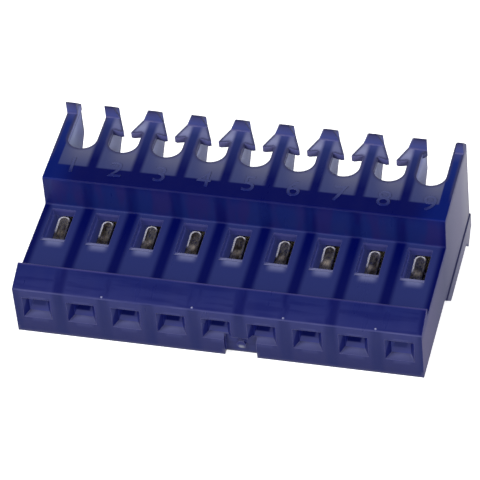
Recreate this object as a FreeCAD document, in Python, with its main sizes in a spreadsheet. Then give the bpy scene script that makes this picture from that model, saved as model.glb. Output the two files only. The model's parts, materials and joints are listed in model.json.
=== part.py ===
import FreeCAD, Part
import Sketcher
import math
import os

# Wire-to-board receptacle for one row of posts: a moulded housing with a cutting contact in each position.
# Connector axes: X runs along the row, Y from the mating face to the comb tips, Z from the back to the
# window side. The finished part lies on its back, nose down, as it comes to rest on a table.

SIZES = {
    # Row
    "circuits": 9,
    "pitch": 2.54,
    "post_axis": 1.86,
    # Housing section, mating end
    "body_depth": 3.16,
    "ramp_start": 3.20,
    "ramp_peak": 3.83,
    "ramp_length": 1.58,
    "edge_round": 0.12,
    # Housing section, wire end
    "riser_foot": 6.88,
    "riser_lean": 0.10,
    "comb_face": 5.08,
    "comb_top": 13.18,
    "ridge_run": 0.86,
    "ridge_rise": 0.89,
    # Back plate
    "back_ramp": 5.90,
    "back_drop": 1.25,
    "back_ridge_set": 0.15,
    "back_ridge_rise": 0.75,
    "seam_drop": 0.25,
    "plate_overhang": 0.08,
    # Wire channels
    "partition": 0.52,
    "web": 0.40,
    "floor_wall": 1.22,
    "channel_back": 0.35,
    "crest_depth": 2.15,
    "crest_drop": 1.80,
    # Barbed comb
    "notch_floor": 9.60,
    "notch_radius": 0.87,
    "barb_neck": 0.93,
    "barb_reach": 1.06,
    "barb_end": 0.10,
    "barb_undercut": 0.17,
    "head_top": 0.29,
    "ridge_base": 0.60,
    "ridge_tip": 0.20,
    "end_finger": 0.60,
    "last_head": 0.50,
    "last_tip": 0.33,
    # Post holes
    "mouth_width": 1.62,
    "mouth_height": 1.46,
    "mouth_depth": 0.40,
    "post_hole": 1.08,
    # Contact cavities and windows
    "cavity_stop": 1.50,
    "cavity_width": 1.44,
    "cavity_depth": 1.60,
    "side_clearance": 0.03,
    "face_clearance": 0.04,
    "window_set": 0.33,
    "window_length": 2.10,
    "window_width": 1.33,
    "window_shift": 0.08,
    "ledge_length": 0.45,
    "ledge_drop": 0.25,
    # Gate recess in the mating face
    "gate_width": 1.80,
    "gate_height": 1.40,
    "gate_depth": 0.35,
    "gate_mark": 0.50,
    "gate_mark_height": 0.15,
    # Contact
    "stock": 0.28,
    "box_length": 1.50,
    "tongue_set": 0.30,
    "tongue_gap": 0.56,
    "tongue_width": 0.68,
    "tongue_bow": 0.16,
    "tongue_flat": 0.08,
    "bridge_set": 0.25,
    "bridge_length": 0.80,
    "blade_rise": 1.75,
    "slot_depth": 1.30,
    "slot_width": 0.24,
    "slot_mouth": 0.70,
    "slot_mouth_depth": 0.35,
}

doc = FreeCAD.newDocument("receptacle")
sheet = doc.addObject("Spreadsheet::Sheet", "dims")
for row, (alias, value) in enumerate(SIZES.items(), start=1):
    sheet.set(f"A{row}", alias)
    sheet.set(f"B{row}", str(value))
    sheet.setAlias(f"B{row}", alias)
doc.recompute()

ROW_LENGTH = "dims.circuits * dims.pitch"
SLOT_CENTRE = "dims.pitch / 2"
HALF_PARTITION = "dims.partition / 2"
RISER_HEAD = "dims.riser_foot + dims.riser_lean"
RIDGE_SHELF = "dims.comb_top - dims.ridge_run"
RIDGE_PEAK = "dims.comb_face + dims.ridge_rise"
CHANNEL_FLOOR = f"({RISER_HEAD} + dims.floor_wall)"
END_WALL = "(dims.pitch - dims.cavity_width) / 2"
ORIGIN = -1
START, END, CENTRE = range(1, 4)


def new_body(label):
    body = doc.addObject("PartDesign::Body", label)
    body.Label = label
    return body


def new_sketch(body, name, role, place):
    """Empty sketch on one of the body's own planes, moved along that plane's normal."""
    sketch = body.newObject("Sketcher::SketchObject", name)
    plane = next(feature for feature in body.Origin.OriginFeatures if feature.Role == role)
    sketch.AttachmentSupport = [(plane, "")]
    sketch.MapMode = "FlatFace"
    sketch.setExpression("AttachmentOffset.Base.z", place)
    return sketch


def place_point(sketch, geometry, point, across, along):
    """Tie one point of a sketch to two sizes measured from its origin."""
    for kind, size in (("DistanceX", across), ("DistanceY", along)):
        constraint = Sketcher.Constraint(kind, ORIGIN, START, geometry, point, 1.0)
        index = sketch.addConstraint(constraint)
        sketch.setExpression(f"Constraints[{index}]", size)


def polygons(body, name, role, place, *outlines):
    """Sketch of closed outlines; each corner is a pair of sizes."""
    sketch = new_sketch(body, name, role, place)
    for corners in outlines:
        first = sketch.GeometryCount
        count = len(corners)
        turn = 2 * math.pi / count
        ring = [FreeCAD.Vector(math.cos(turn * k), math.sin(turn * k), 0) for k in range(count)]
        for k in range(count):
            sketch.addGeometry(Part.LineSegment(ring[k], ring[(k + 1) % count]))
        for k, (across, along) in enumerate(corners):
            before = first + (k - 1) % count
            sketch.addConstraint(Sketcher.Constraint("Coincident", before, END, first + k, START))
            place_point(sketch, first + k, START, across, along)
    return sketch


def circles(body, name, role, place, *rounds):
    """Sketch of circles; each is a centre and a radius."""
    sketch = new_sketch(body, name, role, place)
    normal = FreeCAD.Vector(0, 0, 1)
    for across, along, radius in rounds:
        geometry = sketch.addGeometry(Part.Circle(FreeCAD.Vector(0, 0, 0), normal, 1.0))
        place_point(sketch, geometry, CENTRE, across, along)
        index = sketch.addConstraint(Sketcher.Constraint("Radius", geometry, 1.0))
        sketch.setExpression(f"Constraints[{index}]", radius)
    return sketch


def rectangle(left, right, low, high):
    return [(left, low), (right, low), (right, high), (left, high)]


def extrude(body, kind, name, sketch, length, midplane=False, turned=False):
    feature = body.newObject(f"PartDesign::{kind}", name)
    feature.Profile = sketch
    feature.setExpression("Length", length)
    if midplane:
        feature.SideType = "Symmetric"
    feature.Reversed = turned
    return feature


def pad(body, name, sketch, length, **options):
    return extrude(body, "Pad", name, sketch, length, **options)


def pocket(body, name, sketch, length, **options):
    return extrude(body, "Pocket", name, sketch, length, **options)


def repeat(body, name, originals, occurrences):
    """Repeat features along the row at the pitch."""
    pattern = body.newObject("PartDesign::LinearPattern", name)
    pattern.Originals = originals
    axis = next(feature for feature in body.Origin.OriginFeatures if feature.Role == "X_Axis")
    pattern.Direction = (axis, [""])
    pattern.setExpression("Length", f"dims.pitch * ({occurrences} - 1)")
    pattern.setExpression("Occurrences", occurrences)
    body.Tip = pattern
    return pattern


def round_edges(body, name, base, radius, chosen):
    """Fillet the edges of a feature that a test picks out."""
    doc.recompute()
    edges = [f"Edge{k}" for k, edge in enumerate(base.Shape.Edges, start=1) if chosen(edge)]
    fillet = body.newObject("PartDesign::Fillet", name)
    fillet.Base = (base, edges)
    fillet.setExpression("Radius", radius)
    return fillet


# Housing, moulded in one piece
housing = new_body("housing")

# Section: mating end with its locking ramp, window face, riser and the tip ridge of the comb.
section = polygons(
    housing, "section", "YZ_Plane", "0",
    [
        ("0", "0"),
        ("0", "dims.ramp_start"),
        ("dims.ramp_length", "dims.ramp_peak"),
        ("dims.ramp_length", "dims.body_depth"),
        ("dims.riser_foot", "dims.body_depth"),
        (RISER_HEAD, "dims.comb_face"),
        (RIDGE_SHELF, "dims.comb_face"),
        (RIDGE_SHELF, RIDGE_PEAK),
        ("dims.comb_top", f"{RIDGE_PEAK} - dims.ridge_run"),
        ("dims.comb_top", "-dims.seam_drop"),
        ("dims.back_ramp + dims.seam_drop", "-dims.seam_drop"),
        ("dims.back_ramp", "0"),
    ],
)
block = pad(housing, "block", section, ROW_LENGTH)

ROUNDED = [
    (0.0, SIZES["ramp_start"]),
    (SIZES["ramp_length"], SIZES["ramp_peak"]),
    (SIZES["riser_foot"], SIZES["body_depth"]),
    (SIZES["riser_foot"] + SIZES["riser_lean"], SIZES["comb_face"]),
]
TOUCH = 1e-6


def is_rounded(edge):
    """Long edges at the ramp's foot and peak and at both ends of the riser."""
    for along, across in ROUNDED:
        if all(math.hypot(v.Y - along, v.Z - across) < TOUCH for v in edge.Vertexes):
            return True
    return False


round_edges(housing, "moulded_edges", block, "dims.edge_round", is_rounded)

# Back plate with its foot ramp and snap ridge, a little longer than the end walls.
RIDGE_TOP = "dims.comb_top - dims.back_ridge_set"
plate_section = polygons(
    housing, "plate_section", "YZ_Plane", "-dims.plate_overhang",
    [
        ("dims.back_ramp + dims.seam_drop", "-dims.seam_drop"),
        ("dims.comb_top", "-dims.seam_drop"),
        ("dims.comb_top", "-dims.back_drop"),
        (RIDGE_TOP, "-dims.back_drop"),
        (f"{RIDGE_TOP} - dims.back_ridge_rise", "-dims.back_drop - dims.back_ridge_rise"),
        (f"{RIDGE_TOP} - 2 * dims.back_ridge_rise", "-dims.back_drop"),
        ("dims.back_ramp + dims.back_drop", "-dims.back_drop"),
    ],
)
pad(housing, "back_plate", plate_section, f"{ROW_LENGTH} + 2 * dims.plate_overhang")

# Wire channels, open at the top, between partitions and inside the end walls.
CHANNEL_LENGTH = f"dims.comb_top - {CHANNEL_FLOOR}"
CHANNEL_FRONT = "dims.comb_face - dims.web"
inner_outline = rectangle(
    f"dims.pitch + {HALF_PARTITION}", f"2 * dims.pitch - {HALF_PARTITION}",
    "-dims.channel_back", CHANNEL_FRONT,
)
inner_sketch = polygons(housing, "inner_channel_outline", "XZ_Plane", f"-{CHANNEL_FLOOR}", inner_outline)
inner_channel = pocket(housing, "inner_channel", inner_sketch, CHANNEL_LENGTH)
repeat(housing, "inner_channels", [inner_channel], "dims.circuits - 2")

FIRST_SIDES = (END_WALL, f"dims.pitch - {HALF_PARTITION}")
LAST_SIDES = (f"{ROW_LENGTH} - dims.pitch + {HALF_PARTITION}", f"{ROW_LENGTH} - {END_WALL}")
end_sketch = polygons(
    housing, "end_channel_outline", "XZ_Plane", f"-{CHANNEL_FLOOR}",
    rectangle(*FIRST_SIDES, "-dims.channel_back", CHANNEL_FRONT),
    rectangle(*LAST_SIDES, "-dims.channel_back", CHANNEL_FRONT),
)
pocket(housing, "end_channels", end_sketch, CHANNEL_LENGTH)

# The partitions and the first end wall slope down behind the comb, so the wires can be pressed in.
CREST_END = "dims.comb_face - dims.crest_depth"
slope_outline = [
    ("dims.comb_top", "-dims.channel_back"),
    ("dims.comb_top", CREST_END),
    ("dims.comb_top - dims.crest_drop", f"{CREST_END} - dims.crest_drop"),
    ("dims.comb_top - dims.crest_drop", "-dims.channel_back"),
]
slope_sketch = polygons(housing, "slope_outline", "YZ_Plane", "0", slope_outline)
pocket(housing, "partition_slopes", slope_sketch, f"{ROW_LENGTH} - {END_WALL}", turned=True)

# Barbed wire notches between the arrow-shaped teeth.
NOTCH_MIDDLE = f"dims.pitch + {SLOT_CENTRE}"
NOTCH_CENTRE = "dims.notch_floor + dims.notch_radius"
NOTCH_CUT = "dims.ridge_rise + dims.web"
BARB_FOOT = f"{NOTCH_CENTRE} + dims.barb_neck"
BARB_PLACE = f"{BARB_FOOT} - dims.barb_undercut"


def notch_side(side):
    """Outline of one flank, from the round floor up past the barb to the top of the tooth."""
    throat = f"{NOTCH_MIDDLE} {side} (dims.pitch / 2 - dims.barb_reach)"
    wall = f"{NOTCH_MIDDLE} {side} dims.notch_radius"
    crown = f"{NOTCH_MIDDLE} {side} (dims.pitch / 2 - dims.head_top)"
    return [
        (wall, NOTCH_CENTRE),
        (wall, BARB_FOOT),
        (throat, BARB_PLACE),
        (throat, f"{BARB_PLACE} + dims.barb_end"),
        (crown, "dims.comb_top"),
    ]


notch_outline = notch_side("+") + notch_side("-")[::-1]
notch_sketch = polygons(housing, "notch_outline", "XY_Plane", RIDGE_PEAK, notch_outline)
notch = pocket(housing, "notch", notch_sketch, NOTCH_CUT)
floor_round = (NOTCH_MIDDLE, NOTCH_CENTRE, "dims.notch_radius")
floor_sketch = circles(housing, "notch_floor_round", "XY_Plane", RIDGE_PEAK, floor_round)
notch_floor = pocket(housing, "notch_floor", floor_sketch, NOTCH_CUT)

# The tip ridge is bevelled down to each barb.
bevel_outline = [
    ("dims.pitch + dims.ridge_base", "dims.comb_face"),
    ("2 * dims.pitch - dims.ridge_base", "dims.comb_face"),
    ("2 * dims.pitch - dims.ridge_tip", RIDGE_PEAK),
    ("dims.pitch + dims.ridge_tip", RIDGE_PEAK),
]
bevel_sketch = polygons(housing, "bevel_outline", "XZ_Plane", f"-({RIDGE_SHELF})", bevel_outline)
bevel = pocket(housing, "ridge_bevel", bevel_sketch, "dims.ridge_run")
repeat(housing, "barbed_notches", [notch, notch_floor, bevel], "dims.circuits - 2")

# The two end notches have no barbs and a full round floor. The last tooth keeps half a head.
LAST_TOOTH = f"{ROW_LENGTH} - dims.pitch"
END_RADIUS = f"(dims.pitch - {HALF_PARTITION} - dims.end_finger) / 2"
END_CENTRE = f"dims.notch_floor + {END_RADIUS}"
end_notch_sketch = polygons(
    housing, "end_notch_outline", "XY_Plane", RIDGE_PEAK,
    rectangle("dims.end_finger", f"dims.pitch - {HALF_PARTITION}", END_CENTRE, "dims.comb_top"),
    [
        (f"{LAST_TOOTH} + {HALF_PARTITION}", END_CENTRE),
        (f"{ROW_LENGTH} - dims.end_finger", END_CENTRE),
        (f"{ROW_LENGTH} - dims.end_finger", "dims.comb_top"),
        (f"{LAST_TOOTH} + dims.head_top", "dims.comb_top"),
        (f"{LAST_TOOTH} + dims.last_head", RIDGE_SHELF),
        (f"{LAST_TOOTH} + {HALF_PARTITION}", f"{RIDGE_SHELF} - (dims.last_head - {HALF_PARTITION})"),
    ],
)
pocket(housing, "end_notches", end_notch_sketch, NOTCH_CUT)
end_floor_sketch = circles(
    housing, "end_notch_round", "XY_Plane", RIDGE_PEAK,
    (f"dims.end_finger + {END_RADIUS}", END_CENTRE, END_RADIUS),
    (f"{ROW_LENGTH} - dims.end_finger - {END_RADIUS}", END_CENTRE, END_RADIUS),
)
pocket(housing, "end_notch_floors", end_floor_sketch, NOTCH_CUT)
tip_outline = [
    (f"{ROW_LENGTH} - dims.end_finger", "dims.comb_face"),
    (f"{ROW_LENGTH} - dims.last_head", "dims.comb_face"),
    (f"{ROW_LENGTH} - dims.last_tip", RIDGE_PEAK),
    (f"{ROW_LENGTH} - dims.end_finger", RIDGE_PEAK),
]
tip_sketch = polygons(housing, "last_tip_outline", "XZ_Plane", f"-({RIDGE_SHELF})", tip_outline)
pocket(housing, "last_tip_relief", tip_sketch, "dims.ridge_run")

# Post holes with a tapered mouth, contact cavities behind them, and a window with a sloped ledge over each.


def centred_on_post(width, height):
    return rectangle(
        f"{SLOT_CENTRE} - {width} / 2", f"{SLOT_CENTRE} + {width} / 2",
        f"dims.post_axis - {height} / 2", f"dims.post_axis + {height} / 2",
    )


mouth_outline = centred_on_post("dims.mouth_width", "dims.mouth_height")
throat_outline = centred_on_post("dims.post_hole", "dims.post_hole")
mouth_sketch = polygons(housing, "mouth_outline", "XZ_Plane", "0", mouth_outline)
throat_sketch = polygons(housing, "throat_outline", "XZ_Plane", "-dims.mouth_depth", throat_outline)
mouth = housing.newObject("PartDesign::SubtractiveLoft", "mouth")
mouth.Profile = mouth_sketch
mouth.Sections = [throat_sketch]
mouth.Ruled = True

hole_sketch = polygons(housing, "post_hole_outline", "XZ_Plane", "0", throat_outline)
post_hole = pocket(housing, "post_hole", hole_sketch, "dims.cavity_stop")

CAVITY_BACK = "dims.post_axis - dims.cavity_depth / 2"
CAVITY_FRONT = "dims.post_axis + dims.cavity_depth / 2"
cavity_outline = centred_on_post("dims.cavity_width", "dims.cavity_depth")
cavity_sketch = polygons(housing, "cavity_outline", "XZ_Plane", "-dims.cavity_stop", cavity_outline)
cavity = pocket(housing, "cavity", cavity_sketch, f"{CHANNEL_FLOOR} - dims.cavity_stop")

WINDOW_CUT = f"dims.body_depth - ({CAVITY_FRONT})"
WINDOW_END = "dims.riser_foot - dims.window_set"
WINDOW_START = f"{WINDOW_END} - dims.window_length"
WINDOW_CENTRE = f"({SLOT_CENTRE} - dims.window_shift)"
window_outline = rectangle(
    f"{WINDOW_CENTRE} - dims.window_width / 2", f"{WINDOW_CENTRE} + dims.window_width / 2",
    WINDOW_START, WINDOW_END,
)
window_sketch = polygons(housing, "window_outline", "XY_Plane", "dims.body_depth", window_outline)
window = pocket(housing, "window", window_sketch, WINDOW_CUT)
ledge_outline = [
    (f"{WINDOW_START} - dims.ledge_length", "dims.body_depth"),
    (WINDOW_START, "dims.body_depth"),
    (WINDOW_START, "dims.body_depth - dims.ledge_drop"),
]
ledge_sketch = polygons(housing, "ledge_outline", "YZ_Plane", WINDOW_CENTRE, ledge_outline)
ledge = pocket(housing, "ledge", ledge_sketch, "dims.window_width", midplane=True)
repeat(housing, "positions", [mouth, post_hole, cavity, window, ledge], "dims.circuits")

# Gate recess at the middle of the row, with the stub left where the gate broke off.
GATE_PLACE = "dims.pitch * ceil(dims.circuits / 2)"
gate_outline = rectangle(
    f"{GATE_PLACE} - dims.gate_width / 2", f"{GATE_PLACE} + dims.gate_width / 2", "0", "dims.gate_height"
)
gate_sketch = polygons(housing, "gate_outline", "XZ_Plane", "0", gate_outline)
pocket(housing, "gate_recess", gate_sketch, "dims.gate_depth")
mark_round = (GATE_PLACE, "dims.gate_height / 2", "dims.gate_mark / 2")
mark_sketch = circles(housing, "gate_mark_outline", "XZ_Plane", "-dims.gate_depth", mark_round)
gate_stub = pad(housing, "gate_stub", mark_sketch, "dims.gate_mark_height")
housing.Tip = gate_stub


# Contacts, stamped and folded from strip, one in each cavity
CONTACT_HALF = "(dims.cavity_width / 2 - dims.side_clearance)"
CONTACT_BACK = f"({CAVITY_BACK})"
CONTACT_FRONT = f"({CAVITY_FRONT} - dims.face_clearance)"
INNER_HALF = f"({CONTACT_HALF} - dims.stock)"
INNER_BACK = f"({CONTACT_BACK} + dims.stock)"
INNER_FRONT = f"({CONTACT_FRONT} - dims.stock)"
CONTACT_DEPTH = "dims.cavity_depth - dims.face_clearance"
BOX_END = "dims.cavity_stop + dims.box_length"
BRIDGE_END = f"({CHANNEL_FLOOR} - dims.bridge_set)"
BLADE_ROOT = f"({BRIDGE_END} - dims.bridge_length)"
BLADE_TOP = f"({CHANNEL_FLOOR} + dims.blade_rise)"
TONGUE_ROOT = f"({BOX_END} + dims.tongue_set)"
TONGUE_END = f"({BLADE_ROOT} - dims.tongue_gap)"


def make_contact(label):
    """Box round the post, bowed spring tongue under the window, bridge and two slotted wire blades."""
    body = new_body(label)
    tube_sketch = polygons(
        body, f"{label}_tube_outline", "XZ_Plane", "-dims.cavity_stop",
        rectangle(f"-{CONTACT_HALF}", CONTACT_HALF, CONTACT_BACK, CONTACT_FRONT),
        rectangle(f"-{INNER_HALF}", INNER_HALF, INNER_BACK, INNER_FRONT),
    )
    pad(body, f"{label}_tube", tube_sketch, f"{BLADE_TOP} - dims.cavity_stop", turned=True)

    # One wall ends with the box, the other with the bridge between the blades.
    for name, place, start in (
        ("open_side", f"-{CONTACT_HALF}", BOX_END),
        ("wire_side", INNER_HALF, BRIDGE_END),
    ):
        side_sketch = polygons(
            body, f"{label}_{name}_outline", "YZ_Plane", place,
            rectangle(start, BLADE_TOP, INNER_BACK, INNER_FRONT),
        )
        pocket(body, f"{label}_{name}", side_sketch, "dims.stock", turned=True)

    # The front wall is cut away round the tongue.
    gap_sketch = polygons(
        body, f"{label}_gap_outline", "XY_Plane", CONTACT_FRONT,
        rectangle(f"-{CONTACT_HALF}", CONTACT_HALF, f"{TONGUE_ROOT} + dims.stock", BLADE_ROOT),
    )
    pocket(body, f"{label}_gap", gap_sketch, "dims.stock")

    # Spring tongue, a bowed strip that touches the post halfway along.
    half_run = f"(({TONGUE_END} - {TONGUE_ROOT}) / 2)"
    bow_radius = f"(({half_run} ^ 2 + dims.tongue_bow ^ 2) / (2 * dims.tongue_bow))"
    axis_height = f"({CONTACT_FRONT} - dims.stock - dims.tongue_bow + {bow_radius})"
    tongue_sketch = polygons(
        body, f"{label}_tongue_outline", "XZ_Plane", f"-{TONGUE_ROOT} - {half_run}",
        rectangle(
            "-dims.tongue_width / 2 - dims.window_shift", "dims.tongue_width / 2 - dims.window_shift",
            f"{axis_height} - {bow_radius}", f"{axis_height} - {bow_radius} + dims.stock",
        ),
    )
    axis_ends = [FreeCAD.Vector(-1, 1, 0), FreeCAD.Vector(1, 1, 0)]
    axis_line = tongue_sketch.addGeometry(Part.LineSegment(*axis_ends), True)
    place_point(tongue_sketch, axis_line, START, "-dims.tongue_width", axis_height)
    place_point(tongue_sketch, axis_line, END, "dims.tongue_width", axis_height)
    tongue = body.newObject("PartDesign::Revolution", f"{label}_tongue")
    tongue.Profile = tongue_sketch
    tongue.ReferenceAxis = (tongue_sketch, ["Axis0"])
    tongue.Midplane = True
    tongue.setExpression("Angle", f"2 * asin({half_run} / {bow_radius})")

    # Wire slots in both blades, with a tapered mouth.
    slot_outline = [
        ("-dims.slot_width / 2", f"{BLADE_TOP} - dims.slot_depth"),
        ("dims.slot_width / 2", f"{BLADE_TOP} - dims.slot_depth"),
        ("dims.slot_width / 2", f"{BLADE_TOP} - dims.slot_mouth_depth"),
        ("dims.slot_mouth / 2", BLADE_TOP),
        ("-dims.slot_mouth / 2", BLADE_TOP),
        ("-dims.slot_width / 2", f"{BLADE_TOP} - dims.slot_mouth_depth"),
    ]
    slot_sketch = polygons(body, f"{label}_slot_outline", "XY_Plane", CONTACT_FRONT, slot_outline)
    slots = pocket(body, f"{label}_slots", slot_sketch, CONTACT_DEPTH)

    # The free end of the tongue is rounded.
    middle = -SIZES["window_shift"]
    half_width = SIZES["tongue_width"] / 2
    box_end = SIZES["cavity_stop"] + SIZES["box_length"] + SIZES["tongue_set"] + SIZES["stock"]

    def is_tongue_corner(edge):
        ends = edge.Vertexes
        on_side = all(abs(abs(v.X - middle) - half_width) < TOUCH for v in ends)
        beyond_box = all(v.Y > box_end + TOUCH for v in ends)
        return on_side and beyond_box and edge.Length < SIZES["stock"] + TOUCH

    tip_radius = "(dims.tongue_width - dims.tongue_flat) / 2"
    tip = round_edges(body, f"{label}_tongue_tip", slots, tip_radius, is_tongue_corner)
    body.Tip = tip
    return body


contacts = [make_contact(f"contact_{k + 1}") for k in range(SIZES["circuits"])]
doc.recompute()

# Rest on a table: the mating end's lower edge and the foot of the back plate touch it.
tilt = math.degrees(math.atan2(SIZES["back_drop"], SIZES["back_ramp"] + SIZES["back_drop"]))
lean = FreeCAD.Rotation(FreeCAD.Vector(1, 0, 0), tilt)
laid = housing.Shape.copy()
laid.Placement = FreeCAD.Placement(FreeCAD.Vector(0, 0, 0), lean)
corner = laid.BoundBox
shift = FreeCAD.Vector(-corner.Center.x, -corner.Center.y, -corner.ZMin)
housing.Placement = FreeCAD.Placement(shift, lean)
for k, contact in enumerate(contacts):
    in_row = FreeCAD.Vector(SIZES["pitch"] * k + SIZES["pitch"] / 2, 0, 0)
    contact.Placement = FreeCAD.Placement(shift + in_row, lean)
doc.recompute()

for item in doc.Objects:
    if "Invalid" in item.State or "Error" in item.State:
        raise RuntimeError(f"{item.Label} did not build: {item.State}")
for part in [housing] + contacts:
    if part.Shape.isNull() or not part.Shape.isValid():
        raise RuntimeError(f"{part.Label} has no valid shape")
    if len(part.Shape.Solids) != 1:
        raise RuntimeError(f"{part.Label} is not one solid")

os.makedirs("parts", exist_ok=True)
for part in [housing] + contacts:
    part.Shape.exportStep(f"parts/{part.Label}.step")
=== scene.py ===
import bpy
import bmesh
import json
import math
from mathutils import Matrix, Vector
from types import SimpleNamespace


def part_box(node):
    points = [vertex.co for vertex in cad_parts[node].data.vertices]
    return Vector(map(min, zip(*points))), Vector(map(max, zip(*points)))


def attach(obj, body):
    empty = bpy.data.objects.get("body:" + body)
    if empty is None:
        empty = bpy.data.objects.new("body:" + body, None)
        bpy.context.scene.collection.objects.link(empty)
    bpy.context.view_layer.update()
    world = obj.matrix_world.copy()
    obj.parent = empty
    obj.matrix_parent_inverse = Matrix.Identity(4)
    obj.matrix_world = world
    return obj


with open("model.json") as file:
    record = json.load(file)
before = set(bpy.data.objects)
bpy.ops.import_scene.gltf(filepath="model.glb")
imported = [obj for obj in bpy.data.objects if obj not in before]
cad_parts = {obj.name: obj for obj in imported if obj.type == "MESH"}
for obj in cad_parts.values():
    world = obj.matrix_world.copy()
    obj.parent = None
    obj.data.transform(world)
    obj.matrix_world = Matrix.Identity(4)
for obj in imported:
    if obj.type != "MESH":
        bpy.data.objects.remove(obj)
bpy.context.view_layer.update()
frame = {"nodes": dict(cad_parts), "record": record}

# Housing: one injection moulding in translucent blue nylon, nine cavities side by side under a barbed
# wire comb. Thin walls let the pale table show through and look grey, solid sections look navy; this
# see-through light and shade is painted into the colour by place, with only a little true transmission.
# Sizes are millimetres: across the row, along from the mating face, and above the post holes.
MM = 0.001
mounts = {mount["name"]: mount for mount in frame["record"]["mounts"]}
positions = [name for name in sorted(frame["nodes"]) if name.startswith("contact_")]
first_position, last_position = (sum(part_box(name), Vector()) / 2 for name in (positions[0], positions[-1]))
pitch = (last_position.x - first_position.x) / MM / (len(positions) - 1)
row_axis = Vector((1.0, 0.0, 0.0))
into_row = -Vector(mounts["mating_face"]["axis"])
towards_windows = row_axis.cross(into_row)
mating_origin = Vector((first_position.x, *mounts["mating_face"]["pos_m"][1:]))
tilt = math.atan2(into_row.z, into_row.y)

ROW_START = -pitch / 2
ROW_END = pitch * (len(positions) - 0.5)
WALL_FACE = 1.30
RISER_HEAD = 6.98
COMB_FACE = 3.22
CHANNEL_FLOOR = 8.20
WEB_TOP = 9.40
NAVY = (0.000, 0.002, 0.080, 1.0)


def add_node(tree, kind, inputs=None, **settings):
    """A shader node: settings are its own properties, inputs are values or the sockets that feed them."""
    made = tree.nodes.new("ShaderNode" + kind)
    for name, value in settings.items():
        setattr(made, name, value)
    for name, value in (inputs or {}).items():
        if isinstance(value, bpy.types.NodeSocket):
            tree.links.new(value, made.inputs[name])
        else:
            made.inputs[name].default_value = value
    return made


def calculate(tree, operation, *values):
    made = add_node(tree, "Math", dict(enumerate(values)), operation=operation)
    return made.outputs[0]


def product(tree, *masks):
    result = masks[0]
    for mask in masks[1:]:
        result = calculate(tree, "MULTIPLY", result, mask)
    return result


def soft_step(tree, value, low, high):
    """0 at low, 1 at high, smooth between them; low may be the greater of the two."""
    made = add_node(
        tree,
        "MapRange",
        {"Value": value, "From Min": low, "From Max": high},
        interpolation_type="SMOOTHSTEP",
    )
    return made.outputs["Result"]


NOISE_LOW, NOISE_HIGH = 0.3, 0.7


def scale_to(tree, value, low, high):
    """A noise value spread evenly from low to high."""
    made = add_node(
        tree,
        "MapRange",
        {"Value": value, "From Min": NOISE_LOW, "From Max": NOISE_HIGH, "To Min": low, "To Max": high},
    )
    return made.outputs["Result"]


def band(tree, value, low, high, blur):
    """1 between low and high, with both ends blurred."""
    rise = soft_step(tree, value, low - blur, low + blur)
    fall = soft_step(tree, value, high + blur, high - blur)
    return product(tree, rise, fall)


def outside(tree, mask):
    return calculate(tree, "SUBTRACT", 1.0, mask)


def mix_colours(tree, mask, first, second):
    made = add_node(tree, "Mix", {"Factor": mask, "A": first, "B": second}, data_type="RGBA")
    return made.outputs["Result"]


def gradient(tree, value, *stops):
    """Colours spread along a value; each stop is a place and a colour."""
    low, high = stops[0][0], stops[-1][0]
    spread = add_node(tree, "MapRange", {"Value": value, "From Min": low, "From Max": high})
    made = add_node(tree, "ValToRGB", {"Fac": spread.outputs["Result"]})
    ramp = made.color_ramp
    ramp.elements[0].color = stops[0][1]
    ramp.elements[1].color = stops[-1][1]
    for place, colour in stops[1:-1]:
        ramp.elements.new((place - low) / (high - low)).color = colour
    return made.outputs["Color"]


def new_group(name, inputs, outputs):
    """An empty shader node group with named sockets, and its two end nodes."""
    group = bpy.data.node_groups.new(name, "ShaderNodeTree")
    for label, value in inputs.items():
        socket = group.interface.new_socket(label, in_out="INPUT", socket_type="NodeSocketFloat")
        socket.default_value = value
    for label, kind in outputs.items():
        group.interface.new_socket(label, in_out="OUTPUT", socket_type="NodeSocket" + kind)
    return group, group.nodes.new("NodeGroupInput"), group.nodes.new("NodeGroupOutput")


def place_group(tree, group, **values):
    made = tree.nodes.new("ShaderNodeGroup")
    made.node_tree = group
    for name, value in values.items():
        made.inputs[name].default_value = value
    return made


def make_connector_axes():
    """Millimetres along the row, from the mating face towards the comb, and above the post holes."""
    group, _, ends = new_group("connector_axes", {}, {"Across": "Float", "Along": "Float", "Above": "Float"})
    place = add_node(group, "TexCoord").outputs["Object"]
    to_axes = Matrix.Rotation(-tilt, 3, "X")
    turned = add_node(
        group,
        "Mapping",
        {
            "Vector": place,
            "Location": to_axes @ -mating_origin / MM,
            "Rotation": (-tilt, 0.0, 0.0),
            "Scale": (1 / MM, 1 / MM, 1 / MM),
        },
    )
    parts = add_node(group, "SeparateXYZ", {"Vector": turned.outputs["Vector"]})
    for label, axis in zip(("Across", "Along", "Above"), "XYZ"):
        group.links.new(parts.outputs[axis], ends.inputs[label])
    return group


FACING = (0.70, 0.85)


def make_face_directions():
    """Which faces look at the header, at the window side, and along the row."""
    labels = ("Front", "Upper", "Side")
    group, _, ends = new_group("face_directions", {}, {label: "Float" for label in labels})
    normal = add_node(group, "NewGeometry").outputs["True Normal"]
    for label, axis in zip(labels, (-into_row, towards_windows, row_axis)):
        facing = add_node(group, "VectorMath", {0: normal, 1: axis}, operation="DOT_PRODUCT").outputs["Value"]
        if label == "Side":
            facing = calculate(group, "ABSOLUTE", facing)
        group.links.new(soft_step(group, facing, *FACING), ends.inputs[label])
    return group


CORNER_BEND = (0.01, 0.20)


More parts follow.
